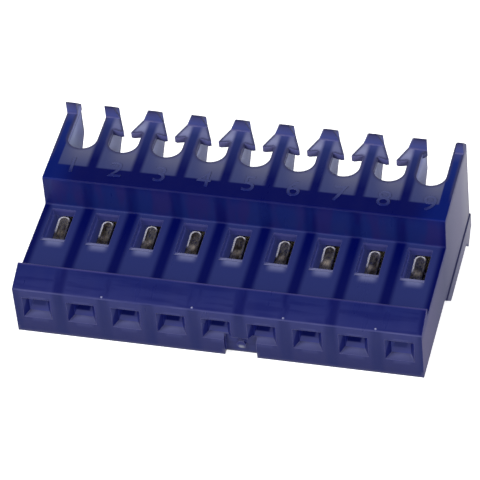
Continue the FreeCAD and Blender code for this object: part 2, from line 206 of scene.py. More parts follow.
def make_moulded_edges():
    """Where a corner is, and a normal that rounds it."""
    group, values, ends = new_group("moulded_edges", {"Radius": 0.1}, {"Edge": "Float", "Normal": "Vector"})
    radius = calculate(group, "MULTIPLY", values.outputs["Radius"], MM)
    rounded = add_node(group, "Bevel", {"Radius": radius}, samples=6).outputs["Normal"]
    flat = add_node(group, "NewGeometry").outputs["Normal"]
    facing = add_node(group, "VectorMath", {0: rounded, 1: flat}, operation="DOT_PRODUCT").outputs["Value"]
    bend = calculate(group, "SUBTRACT", 1.0, facing)
    group.links.new(soft_step(group, bend, *CORNER_BEND), ends.inputs["Edge"])
    group.links.new(rounded, ends.inputs["Normal"])
    return group


def make_surface_grain():
    """Fine grain and broad mottling, drawn out along the row or square to it."""
    group, values, ends = new_group(
        "surface_grain",
        {"Grain": 8.0, "Mottle": 0.6, "Row stretch": 1.0, "Draw stretch": 1.0},
        {"Grain": "Float", "Mottle": "Float"},
    )
    axes = place_group(group, connector_axes)
    across = calculate(group, "DIVIDE", axes.outputs["Across"], values.outputs["Row stretch"])
    along = calculate(group, "DIVIDE", axes.outputs["Along"], values.outputs["Draw stretch"])
    above = calculate(group, "DIVIDE", axes.outputs["Above"], values.outputs["Draw stretch"])
    place = add_node(group, "CombineXYZ", {"X": across, "Y": along, "Z": above})
    for label, detail in (("Grain", 3.0), ("Mottle", 4.0)):
        noise = add_node(
            group,
            "TexNoise",
            {"Vector": place.outputs["Vector"], "Scale": values.outputs[label], "Detail": detail},
        )
        group.links.new(noise.outputs["Fac"], ends.inputs[label])
    return group


connector_axes = make_connector_axes()
face_directions = make_face_directions()
moulded_edges = make_moulded_edges()
surface_grain = make_surface_grain()


def start_material(name):
    material = bpy.data.materials.new(name)
    material.use_nodes = True
    tree = material.node_tree
    return material, tree, tree.nodes["Principled BSDF"], tree.nodes["Material Output"]


def add_relief(tree, shader, height, strength, depth, normal=None):
    """Fine relief on a shader, up to depth millimetres, over its own normal or a rounded one."""
    values = {"Height": height, "Strength": strength, "Distance": depth * MM}
    if normal:
        values["Normal"] = normal
    bump = add_node(tree, "Bump", values)
    tree.links.new(bump.outputs["Normal"], shader.inputs["Normal"])


def offset_from_position(tree, across):
    """Millimetres from the middle line of the nearest position, negative to its left."""
    shifted = calculate(tree, "ADD", across, pitch / 2)
    within = calculate(tree, "FLOORED_MODULO", shifted, pitch)
    return calculate(tree, "SUBTRACT", within, pitch / 2)


def surface_places(tree):
    """Sockets that say where a point lies on the connector and which way its face looks."""
    axes = place_group(tree, connector_axes)
    faces = place_group(tree, face_directions)
    here = SimpleNamespace()
    here.across, here.along, here.above = (axes.outputs[label] for label in ("Across", "Along", "Above"))
    here.front, here.upper, here.side = (faces.outputs[label] for label in ("Front", "Upper", "Side"))
    here.offset = offset_from_position(tree, here.across)
    return here


CAVITY_LIGHT = (-0.90, 1.00)
CAVITY_BLUR = 0.18
RISER_MOTTLE = (0.42, 0.62)
RISER_FADE = (0.7, 0.1)
THIN_WALL = (0.022, 0.031, 0.148, 1.0)
RISER_BLUE = (0.008, 0.017, 0.128, 1.0)
RISER_VIOLET = (0.014, 0.014, 0.116, 1.0)


def over_partitions(tree, here):
    return outside(tree, band(tree, here.offset, *CAVITY_LIGHT, CAVITY_BLUR))


def wall_colour(tree, here):
    """Painted see-through light and shade: blue over the hollow positions and navy over the solid
    partitions, mottled on the riser.
    """
    on_riser = product(tree, here.front, soft_step(tree, here.above, WALL_FACE, WALL_FACE + 0.05))
    riser = mix_colours(tree, soft_step(tree, here.mottle, *RISER_MOTTLE), RISER_BLUE, RISER_VIOLET)
    lit = mix_colours(tree, on_riser, THIN_WALL, riser)
    faded = product(tree, on_riser, scale_to(tree, here.mottle, *RISER_FADE))
    solid = product(tree, over_partitions(tree, here), outside(tree, faded))
    return mix_colours(tree, solid, lit, NAVY)


RAMP_LENGTH = 1.58
RAMP_HEAD = (1.42, 1.60)
RAMP_MOTTLE = (0.38, 0.62)
RAMP_STREAKS = (0.45, 0.65)
RAMP_LOW = (0.019, 0.024, 0.132, 1.0)
RAMP_HIGH = (0.008, 0.014, 0.112, 1.0)
RAMP_HIGHLIGHT = (0.085, 0.078, 0.260, 1.0)


def paint_ramp(tree, here, colour):
    """The latch ramp: streaked along the row, with painted see-through navy patched over the partitions and a
    painted highlight along its head.
    """
    slope = gradient(tree, here.along, (0.0, RAMP_LOW), (RAMP_LENGTH, RAMP_HIGH))
    patched = product(tree, over_partitions(tree, here), soft_step(tree, here.mottle, *RAMP_MOTTLE), 0.85)
    brushed = product(tree, soft_step(tree, here.streak, *RAMP_STREAKS), 0.40)
    slope = mix_colours(tree, calculate(tree, "MAXIMUM", patched, brushed), slope, NAVY)
    # Painted highlight along the ramp's head edge, broken by streaks.
    at_head = band(tree, here.along, *RAMP_HEAD, blur=0.06)
    head_highlight = product(tree, at_head, scale_to(tree, here.streak, 0.3, 0.9))
    slope = mix_colours(tree, head_highlight, slope, RAMP_HIGHLIGHT)
    on_ramp = soft_step(tree, here.along, RAMP_LENGTH + 0.02, RAMP_LENGTH + 0.01)
    return mix_colours(tree, on_ramp, colour, slope)


MATING_FOOT = -1.86
MATING_SKIN = (0.10, 0.02)
LIP_DEPTH = (0.16, 0.12)
LIP_HEIGHT = (WALL_FACE - 0.02, WALL_FACE + 0.05)
MATING_LOW = (0.006, 0.009, 0.082, 1.0)
MATING_HIGH = (0.018, 0.023, 0.126, 1.0)
MATING_DARK = (0.000, 0.005, 0.080, 1.0)
LIP_HIGHLIGHT = (0.090, 0.095, 0.240, 1.0)


def on_mating_face(tree, here):
    return product(tree, here.front, soft_step(tree, here.along, *MATING_SKIN))


def paint_mating_face(tree, here, colour):
    """The face towards the header, darker at its foot, with painted see-through shade over the partitions and
    a painted highlight along its upper lip.
    """
    face = gradient(tree, here.above, (MATING_FOOT, MATING_LOW), (WALL_FACE, MATING_HIGH))
    # Painted see-through shade over the partitions.
    solid = product(tree, over_partitions(tree, here), scale_to(tree, here.mottle, 0.5, 1.0))
    face = mix_colours(tree, solid, face, MATING_DARK)
    colour = mix_colours(tree, on_mating_face(tree, here), colour, face)
    # Painted highlight along the face's upper edge.
    lip_highlight = product(
        tree,
        soft_step(tree, here.along, *LIP_DEPTH),
        band(tree, here.above, *LIP_HEIGHT, blur=0.03),
        scale_to(tree, here.streak, 0.0, 0.7),
    )
    return mix_colours(tree, lip_highlight, colour, LIP_HIGHLIGHT)


MOUTH_DEPTH = 0.42
MOUTH_TOP = 0.85
MOUTH_SILL = (-0.95, -0.70)
MOUTH_SPAN = (-0.35, 0.55)
MOUTH_LEAN = 0.42
MOUTH_SIDE_LIT = (0.19, 0.08)
TAPER_START, TAPER_END = 0.02, 0.28
MOUTH_BROW = (0.040, 0.045, 0.160, 1.0)
MOUTH_LIP = (0.046, 0.051, 0.155, 1.0)
MOUTH_GLOW = (0.078, 0.084, 0.212, 1.0)
MOUTH_SIDE = (0.030, 0.036, 0.145, 1.0)
MOUTH_DARK = (0.004, 0.007, 0.095, 1.0)


def paint_mouths(tree, here, colour):
    """Tapered post mouths: painted shade on their sides, with painted light on the left side towards the
    front, painted light on the lower taper, and a faint painted light round them on the face.
    """
    # Painted light on the face just above and below each mouth.
    brow = band(tree, here.above, MOUTH_TOP - 0.05, MOUTH_TOP + 0.05, blur=0.05)
    sill = product(tree, band(tree, here.above, *MOUTH_SILL, blur=0.15), 0.6)
    round_mouth = product(
        tree,
        on_mating_face(tree, here),
        calculate(tree, "MAXIMUM", brow, sill),
        band(tree, here.offset, *MOUTH_SPAN, blur=0.12),
        0.7,
    )
    colour = mix_colours(tree, round_mouth, colour, MOUTH_BROW)
    in_mouth = product(
        tree,
        soft_step(tree, here.along, MOUTH_DEPTH + 0.01, MOUTH_DEPTH - 0.01),
        soft_step(tree, here.above, MOUTH_TOP + 0.05, MOUTH_TOP - 0.05),
    )
    # Painted shade on the mouth's sides, with painted light on the left side towards the front.
    side_line = calculate(tree, "MULTIPLY_ADD", here.above, -MOUTH_LEAN, here.along)
    on_left = soft_step(tree, here.offset, 0.1, -0.1)
    lit_side = product(tree, soft_step(tree, side_line, *MOUTH_SIDE_LIT), on_left)
    side = mix_colours(tree, lit_side, MOUTH_DARK, MOUTH_SIDE)
    colour = mix_colours(tree, product(tree, in_mouth, here.side), colour, side)
    # Painted light on the lower taper, paler deeper in.
    taper = gradient(tree, here.along, (TAPER_START, MOUTH_LIP), (TAPER_END, MOUTH_GLOW))
    return mix_colours(tree, product(tree, in_mouth, here.upper), colour, taper)


LEDGE_START, LEDGE_END = 3.98, 4.47
WINDOW_TOP = (0.014, 0.014, 0.076, 1.0)
WINDOW_RIM = (0.056, 0.053, 0.170, 1.0)
WINDOW_SIDE = (0.008, 0.015, 0.105, 1.0)
WINDOW_RIM_SHADE = (0.000, 0.003, 0.072, 1.0)
LIGHT_EDGE = (0.110, 0.108, 0.280, 1.0)


def under_wall_face(tree, here):
    return soft_step(tree, here.above, WALL_FACE - 0.02, WALL_FACE - 0.05)


def paint_windows(tree, here, colour):
    """The windows' walls: painted shade on the side walls just inside the rim, painted light near the rim of
    the wall that faces the header, and a painted highlight on sharp corners.
    """
    beyond_ledge = soft_step(tree, here.along, LEDGE_END - 0.02, LEDGE_END + 0.02)
    in_window = product(tree, under_wall_face(tree, here), beyond_ledge)
    head = gradient(tree, here.above, (WALL_FACE - 0.22, WINDOW_TOP), (WALL_FACE - 0.04, WINDOW_RIM))
    wall = gradient(tree, here.above, (WALL_FACE - 0.65, WINDOW_SIDE), (WALL_FACE - 0.25, WINDOW_RIM_SHADE))
    colour = mix_colours(tree, product(tree, in_window, here.front), colour, head)
    colour = mix_colours(tree, product(tree, in_window, here.side), colour, wall)
    # Painted highlight that sharp corners catch, broken by streaks.
    corner_highlight = product(tree, here.edge, scale_to(tree, here.streak, 0.45, 1.0))
    return mix_colours(tree, corner_highlight, colour, LIGHT_EDGE)


HALO_SPAN = (-0.42, 0.50)
HALO_REACH = 0.55
HALO_FLOOR = (0.60, 0.80)
LEDGE_GLOW = (0.270, 0.275, 0.400, 1.0)
LEDGE_FOOT = (0.210, 0.222, 0.365, 1.0)
LEDGE_HALO = (0.145, 0.160, 0.325, 1.0)


def paint_ledges(tree, here, colour):
    """The sloped ledge at each window's foot, with painted light as if lit from inside, and the painted glow
    that it spreads below.
    """
    # Painted glow spreading below the ledge.
    halo = product(
        tree,
        here.upper,
        band(tree, here.offset, *HALO_SPAN, blur=0.22),
        soft_step(tree, here.above, *HALO_FLOOR),
        soft_step(tree, here.along, LEDGE_START - HALO_REACH, LEDGE_START + 0.05),
        soft_step(tree, here.along, LEDGE_END, LEDGE_START),
    )
    colour = mix_colours(tree, halo, colour, LEDGE_HALO)
    # Painted light on the ledge itself.
    on_ledge = product(
        tree,
        here.upper,
        band(tree, here.along, LEDGE_START, LEDGE_END, blur=0.02),
        under_wall_face(tree, here),
    )
    ledge = gradient(tree, here.along, (LEDGE_START, LEDGE_FOOT), (LEDGE_END - 0.1, LEDGE_GLOW))
    return mix_colours(tree, on_ledge, colour, ledge)


GATE_ACROSS = 4.5 * pitch
GATE_ABOVE = -1.38
GATE_WIDTH = 0.15
GATE_HEIGHT = 0.17
GATE_WHITE = (0.190, 0.200, 0.270, 1.0)


def paint_gate_mark(tree, here, colour):
    """The pale scar where the moulding was cut from its sprue."""
    at_gate = product(
        tree,
        here.front,
        band(tree, here.across, GATE_ACROSS - GATE_WIDTH, GATE_ACROSS + GATE_WIDTH, blur=0.08),
        band(tree, here.above, GATE_ABOVE - GATE_HEIGHT, GATE_ABOVE + GATE_HEIGHT, blur=0.08),
    )
    return mix_colours(tree, at_gate, colour, GATE_WHITE)


NOTCH_MIDDLE = 10.4
BARB_FOOT = 10.9
BARB_MIDDLE = 11.8
TOOTH_NECK = 12.3
CORE_FOOT, CORE_HEAD = 8.8, 11.6
WEB_LIGHT = (-0.97, 1.00)
FINGER_WIDTH = 0.60
END_TOOTH = 1.3
WEB_LOW = (0.044, 0.054, 0.160, 1.0)
WEB_HIGH = (0.106, 0.113, 0.202, 1.0)
WEB_BLUE = (0.036, 0.048, 0.158, 1.0)
BARB_LOW = (0.110, 0.115, 0.310, 1.0)
BARB_HIGH = (0.240, 0.255, 0.430, 1.0)
BARB_TIP = (0.200, 0.210, 0.370, 1.0)
BARB_SHADE = (0.042, 0.050, 0.165, 1.0)
CORE_HIGH = (0.020, 0.031, 0.142, 1.0)
CORE_TIP = (0.046, 0.059, 0.205, 1.0)
END_NAVY = (0.000, 0.008, 0.130, 1.0)
END_CORE_HIGH = (0.008, 0.022, 0.165, 1.0)


def web_colour(tree, here):
    """Thin webs and barbs in painted see-through light, paler towards the tips and bluer to the left of each
    position, with painted shade on the left half of each barb.
    """
    thin = gradient(
        tree,
        here.along,
        (CHANNEL_FLOOR, WEB_LOW),
        (WEB_TOP, WEB_HIGH),
        (BARB_FOOT, BARB_LOW),
        (BARB_MIDDLE, BARB_HIGH),
        (TOOTH_NECK, BARB_TIP),
    )
    on_web = soft_step(tree, here.along, NOTCH_MIDDLE + 0.2, NOTCH_MIDDLE - 0.2)
    bluer = product(tree, soft_step(tree, here.offset, 0.4, -0.8), on_web, 0.80)
    thin = mix_colours(tree, bluer, thin, WEB_BLUE)
    on_barb = soft_step(tree, here.along, NOTCH_MIDDLE, BARB_FOOT)
    shaded = product(tree, soft_step(tree, here.offset, 0.1, -0.1), on_barb, 0.45)
    return mix_colours(tree, shaded, thin, BARB_SHADE)


def comb_colour(tree, here):
    """Navy below the channels and up each tooth's core, with the webs and barbs between in painted
    see-through light where the channels leave the nylon thin.
    """
    inner_row = band(tree, here.across, ROW_START + END_TOOTH, ROW_END - END_TOOTH, blur=0.8)
    core = gradient(tree, here.along, (CORE_FOOT, NAVY), (CORE_HEAD, CORE_HIGH), (TOOTH_NECK, CORE_TIP))
    end_core = gradient(
        tree, here.along, (CORE_FOOT, END_NAVY), (CORE_HEAD, END_CORE_HIGH), (TOOTH_NECK, CORE_TIP)
    )
    core = mix_colours(tree, inner_row, end_core, core)
    # Painted see-through light where the webs are thin.
    over_channel = product(
        tree,
        band(tree, here.offset, *WEB_LIGHT, blur=0.14),
        band(tree, here.across, ROW_START + FINGER_WIDTH, ROW_END - FINGER_WIDTH, blur=0.04),
        soft_step(tree, here.along, CHANNEL_FLOOR - 0.07, CHANNEL_FLOOR + 0.07),
    )
    return mix_colours(tree, over_channel, core, web_colour(tree, here))


BARB_UNDER = (0.045, 0.048, 0.155, 1.0)
BARB_LIT = (0.150, 0.145, 0.310, 1.0)


def paint_barb_undersides(tree, here, colour):
    """The hooks' undersides: painted shade inside, with painted light towards the front and on each
    right-hand barb.
    """
    under = gradient(tree, here.above, (COMB_FACE - 0.40, BARB_UNDER), (COMB_FACE - 0.12, BARB_LOW))
    under = mix_colours(tree, product(tree, soft_step(tree, here.offset, 0.1, 0.3), 0.7), under, BARB_LIT)
    above_notch = soft_step(tree, here.along, NOTCH_MIDDLE - 0.1, NOTCH_MIDDLE + 0.1)
    return mix_colours(tree, product(tree, here.front, above_notch), colour, under)


RIDGE_TONES = (
    (0.00, (0.050, 0.062, 0.230, 1.0)),
    (0.25, (0.070, 0.086, 0.285, 1.0)),
    (0.65, (0.062, 0.066, 0.200, 1.0)),
    (0.86, (0.030, 0.030, 0.090, 1.0)),
)


def on_ridge(tree, here):
    return soft_step(tree, here.above, COMB_FACE + 0.02, COMB_FACE + 0.20)


def paint_ridges(tree, here, colour):
    """The ridges across the teeth's tips in a painted see-through tone, bluer where the nylon is thick, and
    darker along their heads.
    """
    ridge = gradient(tree, here.above, *((COMB_FACE + rise, tone) for rise, tone in RIDGE_TONES))
    return mix_colours(tree, on_ridge(tree, here), colour, ridge)


CHANNEL_HALF = 0.90
FINGER_SIDE = 0.75
FINGER_SHADE = (11.0, 12.6)
SIDE_GREY = (0.390, 0.425, 0.660, 1.0)
SIDE_LIGHT = (0.370, 0.430, 0.640, 1.0)
SIDE_SHADE = (0.170, 0.190, 0.440, 1.0)


def paint_channel_sides(tree, here, colour):
    """The partitions' and end fingers' flanks seen through the notches, pale with painted light from behind,
    with painted shade near the comb face and towards the fingers' tips.
    """
    between_fingers = band(tree, here.across, ROW_START + FINGER_SIDE, ROW_END - FINGER_SIDE, blur=0.05)
    at_fingers = outside(tree, between_fingers)
    at_partitions = outside(tree, band(tree, here.offset, -CHANNEL_HALF, CHANNEL_HALF, blur=0.03))
    flank = mix_colours(tree, at_fingers, SIDE_GREY, SIDE_LIGHT)
    near_face = soft_step(tree, here.above, COMB_FACE - 1.1, COMB_FACE - 0.1)
    near_tip = product(tree, soft_step(tree, here.along, *FINGER_SHADE), at_fingers, 0.8)
    flank = mix_colours(tree, calculate(tree, "MAXIMUM", near_face, near_tip), flank, SIDE_SHADE)
    on_flank = product(
        tree,
        calculate(tree, "MAXIMUM", at_fingers, at_partitions),
        here.side,
        outside(tree, on_ridge(tree, here)),
    )
    return mix_colours(tree, on_flank, colour, flank)


END_SKIN = 0.05
END_RIM = 0.60
END_TONES = (
    (1.0, (0.062, 0.056, 0.145, 1.0)),
    (6.0, (0.051, 0.053, 0.125, 1.0)),
    (11.0, (0.150, 0.146, 0.230, 1.0)),
    (12.6, (0.235, 0.230, 0.300, 1.0)),
)
END_BLUE = (0.014, 0.017, 0.120, 1.0)


def on_end_wall(tree, here):
    within_row = band(tree, here.across, ROW_START + END_SKIN, ROW_END - END_SKIN, blur=0.02)
    return product(tree, here.side, outside(tree, within_row))


def paint_end_walls(tree, here, colour):
    """The row's two flat ends, greyer towards the comb and blue along the front rim."""
    wall = gradient(tree, here.along, *END_TONES)
    front_height = calculate(tree, "MULTIPLY_ADD", here.on_comb, COMB_FACE - WALL_FACE, WALL_FACE)
    from_front = calculate(tree, "SUBTRACT", front_height, here.above)
    rim = product(tree, soft_step(tree, from_front, END_RIM, 0.0), scale_to(tree, here.mottle, 0.6, 1.0))
    wall = mix_colours(tree, rim, wall, END_BLUE)
    return mix_colours(tree, on_end_wall(tree, here), colour, wall)


OUTLINE_WIDTH = 0.20
OUTLINE_FADE = (0.97, 0.76)
BACK_FOOT = (-1.35, -1.55)
DARK_EDGE = (0.042, 0.044, 0.115, 1.0)


def paint_outlines(tree, here, colour):
    """Painted shade as dark rims along the outer corners of the comb and of the back plate."""
    above_floor = soft_step(tree, here.along, CHANNEL_FLOOR, WEB_TOP)
    comb_rims = product(tree, above_floor, outside(tree, here.front))
    outlined = calculate(tree, "MAXIMUM", comb_rims, soft_step(tree, here.above, *BACK_FOOT))
    depth_inside = add_node(
        tree, "AmbientOcclusion", {"Distance": OUTLINE_WIDTH * MM}, inside=True, only_local=True, samples=6
    )
    near_corner = soft_step(tree, depth_inside.outputs["AO"], *OUTLINE_FADE)
    return mix_colours(tree, product(tree, near_corner, outlined, 0.9), colour, DARK_EDGE)


CAVITY_HALF = 0.76
CAVITY_HEIGHT = (-0.84, WALL_FACE - 0.04)
CAVITY_STOP = 1.50
HOLE_FLOOR_LIT = (0.88, 0.74)
HOLE_RIGHT_LIT = (0.14, 0.26)
CAVITY_GLOW = (0.016, 0.020, 0.080, 1.0)
HOLE_GLOW = (0.038, 0.042, 0.125, 1.0)
HOLE_SHADE = (0.002, 0.003, 0.038, 1.0)
END_SHADE = (0.020, 0.024, 0.085, 1.0)
NO_GLOW = (0.0, 0.0, 0.0, 1.0)


def cavity_glow(tree, here):
    """Painted light, given as an emission colour: the light that the thin walls let into the cavities and the
    post holes, with painted shade deep in the holes.
    """
    inside = product(
        tree,
        band(tree, here.offset, -CAVITY_HALF, CAVITY_HALF, blur=0.02),
        band(tree, here.above, *CAVITY_HEIGHT, blur=0.02),
        band(tree, here.along, MOUTH_DEPTH, CHANNEL_FLOOR, blur=0.02),
    )
    glow = mix_colours(tree, inside, NO_GLOW, CAVITY_GLOW)
    in_hole = product(tree, inside, soft_step(tree, here.along, CAVITY_STOP + 0.02, CAVITY_STOP - 0.02))
    lit_floor = product(tree, here.upper, soft_step(tree, here.along, *HOLE_FLOOR_LIT))
    lit_right = product(tree, soft_step(tree, here.offset, *HOLE_RIGHT_LIT), 0.7)
    inner_row = band(tree, here.across, pitch / 2, ROW_END - pitch, blur=0.1)
    dark = mix_colours(tree, inner_row, END_SHADE, HOLE_SHADE)
    hole = mix_colours(tree, calculate(tree, "MAXIMUM", lit_floor, lit_right), dark, HOLE_GLOW)
    return mix_colours(tree, in_hole, glow, hole)


CORNER_RADIUS = 0.06
NYLON_IOR = 1.53
NYLON_SPECULAR = 0.12
NYLON_TRANSMISSION = 0.06
NYLON_TINT = (0.25, 0.28, 0.80, 1.0)
NYLON_DENSITY = 1200.0
NYLON_ROUGHNESS = (0.26, 0.42)
FLANK_ROUGHNESS = 0.6


def make_nylon():
    material, tree, nylon, output = start_material("blue_nylon")
    edges = place_group(tree, moulded_edges, Radius=CORNER_RADIUS)
    grain = place_group(tree, surface_grain, **{"Grain": 14.0, "Mottle": 1.1, "Draw stretch": 4.0})
    streaks = place_group(tree, surface_grain, **{"Grain": 9.0, "Mottle": 2.6, "Row stretch": 9.0})
    here = surface_places(tree)
    here.edge = edges.outputs["Edge"]
    here.mottle = grain.outputs["Mottle"]
    here.streak = streaks.outputs["Mottle"]
    here.on_comb = soft_step(tree, here.along, RISER_HEAD - 0.03, RISER_HEAD + 0.03)

    body = wall_colour(tree, here)
    for paint in (paint_ramp, paint_mating_face, paint_mouths, paint_windows, paint_ledges, paint_gate_mark):
        body = paint(tree, here, body)
    comb = comb_colour(tree, here)
    for paint in (paint_barb_undersides, paint_ridges, paint_channel_sides):
        comb = paint(tree, here, comb)
    colour = mix_colours(tree, here.on_comb, body, comb)
    for paint in (paint_end_walls, paint_outlines):
        colour = paint(tree, here, colour)
    tree.links.new(colour, nylon.inputs["Base Color"])
    # The cavities' and post holes' painted light goes in as emission, though no lamp is there.
    tree.links.new(cavity_glow(tree, here), nylon.inputs["Emission Color"])
    nylon.inputs["Emission Strength"].default_value = 1.0

    gloss = scale_to(tree, here.mottle, *NYLON_ROUGHNESS)
    flank = product(tree, here.on_comb, here.side)
    dull = product(tree, calculate(tree, "MAXIMUM", on_end_wall(tree, here), flank), FLANK_ROUGHNESS)
    tree.links.new(calculate(tree, "MAXIMUM", gloss, dull), nylon.inputs["Roughness"])
    height = calculate(tree, "ADD", grain.outputs["Grain"], streaks.outputs["Grain"])
    add_relief(tree, nylon, height, strength=0.12, depth=0.02, normal=edges.outputs["Normal"])
    nylon.inputs["IOR"].default_value = NYLON_IOR
    nylon.inputs["Specular IOR Level"].default_value = NYLON_SPECULAR
    nylon.inputs["Transmission Weight"].default_value = NYLON_TRANSMISSION
    depth = add_node(tree, "VolumeAbsorption", {"Color": NYLON_TINT, "Density": NYLON_DENSITY})
    tree.links.new(depth.outputs["Volume"], output.inputs["Volume"])
    return material


def dress(piece, material):
    piece.data.materials.clear()
    piece.data.materials.append(material)


blue_nylon = make_nylon()
housing = frame["nodes"]["housing"]
dress(housing, blue_nylon)

# Position numbers: small raised figures 1 to 9 at the foot of the wire channels, cut into the mould and so
# one with the nylon. Their rims carry a painted highlight against the dark band that fades out on the pale
# web.
NUMBER_SIZE = 1.75
NUMBER_RISE = 0.035
NUMBER_SINK = 0.03
NUMBER_ROUND = 0.015
NUMBER_CORNER = 0.035
NUMBER_SHIFT = 0.16
NUMBER_ALONG = 8.16
NUMBER_FOOT = 7.60
NUMBER_TOP = 8.80
NUMBER_FADE = (8.6, 8.1)
NUMBER_ROUGHNESS = (0.20, 0.38)
FOOT_FACE = (0.003, 0.008, 0.105, 1.0)
FOOT_RIM = (0.150, 0.185, 0.460, 1.0)
MIDDLE_RIM = (0.072, 0.086, 0.240, 1.0)
TOP_FACE = (0.069, 0.079, 0.182, 1.0)
TOP_RIM = (0.074, 0.084, 0.184, 1.0)


def make_number_nylon():
    material, tree, nylon, _ = start_material("raised_nylon")
    axes = place_group(tree, connector_axes)
    edges = place_group(tree, moulded_edges, Radius=NUMBER_CORNER)
    grain = place_group(tree, surface_grain, **{"Grain": 16.0, "Mottle": 2.0})
    along = axes.outputs["Along"]
    face = gradient(tree, along, (NUMBER_FOOT, FOOT_FACE), (CHANNEL_FLOOR, WEB_LOW), (NUMBER_TOP, TOP_FACE))
    rim = gradient(tree, along, (NUMBER_FOOT, FOOT_RIM), (CHANNEL_FLOOR, MIDDLE_RIM), (NUMBER_TOP, TOP_RIM))
    # Painted highlight on the figures' rims, fading out towards the pale web.
    painted_highlight = product(
        tree,
        edges.outputs["Edge"],
        scale_to(tree, grain.outputs["Mottle"], 0.0, 1.2),
        soft_step(tree, along, *NUMBER_FADE),
    )
    tree.links.new(mix_colours(tree, painted_highlight, face, rim), nylon.inputs["Base Color"])
    tree.links.new(scale_to(tree, grain.outputs["Grain"], *NUMBER_ROUGHNESS), nylon.inputs["Roughness"])
    rounded = edges.outputs["Normal"]
    add_relief(tree, nylon, grain.outputs["Grain"], strength=0.15, depth=0.02, normal=rounded)
    nylon.inputs["IOR"].default_value = NYLON_IOR
    nylon.inputs["Specular IOR Level"].default_value = NYLON_SPECULAR
    return material


def on_connector(across, along, above):
    """A frame at a place given in connector millimetres, with its axes along the connector's own."""
    origin = mating_origin + (row_axis * across + into_row * along + towards_windows * above) * MM
    axes = Matrix((row_axis, into_row, towards_windows)).transposed().to_4x4()
    return Matrix.Translation(origin) @ axes


def make_number(number):
    figure = bpy.data.curves.new(f"figure_{number}", "FONT")
    figure.body = str(number)
    figure.align_x = "CENTER"
    figure.align_y = "CENTER"
    figure.size = NUMBER_SIZE * MM
    figure.extrude = ((NUMBER_RISE + NUMBER_SINK) / 2 - NUMBER_ROUND) * MM
    figure.bevel_depth = NUMBER_ROUND * MM
    figure.bevel_resolution = 1
    figure.offset = -NUMBER_ROUND * MM
    figure.resolution_u = 4
    outline = bpy.data.objects.new(f"figure_{number}", figure)
    bpy.context.scene.collection.objects.link(outline)
    bpy.context.view_layer.update()
    mesh = bpy.data.meshes.new_from_object(outline)
    bpy.data.objects.remove(outline)
    above = COMB_FACE + (NUMBER_RISE - NUMBER_SINK) / 2
    mesh.transform(on_connector((number - 1) * pitch + NUMBER_SHIFT, NUMBER_ALONG, above))
    piece = bpy.data.objects.new(f"position_number_{number}", mesh)
    bpy.context.scene.collection.objects.link(piece)
    return piece


raised_nylon = make_number_nylon()
for number in range(1, len(positions) + 1):
    position_number = make_number(number)
    dress(position_number, raised_nylon)
    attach(position_number, "root")

# Edge nibs: four tiny rounded nylon nibs on the upper edge of the mating face, one at every second
# partition, moulded with the housing. They are the small bright dots along that edge, with a painted
# highlight on their crowns.
NIB_ALONG = 0.12
NIB_ABOVE = WALL_FACE + 0.08
NIB_RADIUS = 0.068
NIB_RISE = 0.050
NIB_SINK = 0.050
NIB_SIDES = 14
NIB_PROFILE = ((1.00, -NIB_SINK), (1.00, 0.0), (0.86, 0.55 * NIB_RISE), (0.50, 0.90 * NIB_RISE))
NIB_ROUGHNESS = (0.22, 0.40)
NIB_LIGHT = (0.240, 0.250, 0.420, 1.0)
NIB_FOOT = (0.070, 0.078, 0.240, 1.0)


def make_nib_nylon():
    material, tree, nylon, _ = start_material("nib_nylon")
    axes = place_group(tree, connector_axes)
    grain = place_group(tree, surface_grain, **{"Grain": 18.0, "Mottle": 3.0})
    # Painted highlight on each nib's crown.
    crown = soft_step(tree, axes.outputs["Above"], NIB_ABOVE, NIB_ABOVE + NIB_RISE)
    painted_highlight = product(tree, crown, scale_to(tree, grain.outputs["Mottle"], 0.6, 1.0))
    tree.links.new(mix_colours(tree, painted_highlight, NIB_FOOT, NIB_LIGHT), nylon.inputs["Base Color"])
    tree.links.new(scale_to(tree, grain.outputs["Grain"], *NIB_ROUGHNESS), nylon.inputs["Roughness"])
    add_relief(tree, nylon, grain.outputs["Grain"], strength=0.1, depth=0.01)
    nylon.inputs["IOR"].default_value = NYLON_IOR
    return material


def make_nib(number, across):
    """A rounded stud turned from rings of its profile and closed at its crown."""
    shape = bmesh.new()
    rings = []
    for width, height in NIB_PROFILE:
        ring = []
        for side in range(NIB_SIDES):
            angle = 2 * math.pi * side / NIB_SIDES
            reach = NIB_RADIUS * width
            place = Vector((reach * math.cos(angle), reach * math.sin(angle), height))
            ring.append(shape.verts.new(place * MM))
        rings.append(ring)
    crown = shape.verts.new((0.0, 0.0, NIB_RISE * MM))
    for side in range(NIB_SIDES):
        after = (side + 1) % NIB_SIDES
        for low, high in zip(rings, rings[1:]):
            shape.faces.new((low[side], low[after], high[after], high[side]))
        shape.faces.new((rings[-1][side], rings[-1][after], crown))
    shape.faces.new(reversed(rings[0]))
    mesh = bpy.data.meshes.new(f"edge_nib_{number}")
    shape.to_mesh(mesh)
    shape.free()
    mesh.transform(on_connector(across, NIB_ALONG, NIB_ABOVE))
    piece = bpy.data.objects.new(f"edge_nib_{number}", mesh)
    bpy.context.scene.collection.objects.link(piece)
    return piece


nib_nylon = make_nib_nylon()
for number, partition in enumerate(range(2, len(positions), 2), start=1):
    edge_nib = make_nib(number, (partition - 0.5) * pitch)
    dress(edge_nib, nib_nylon)
    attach(edge_nib, "root")

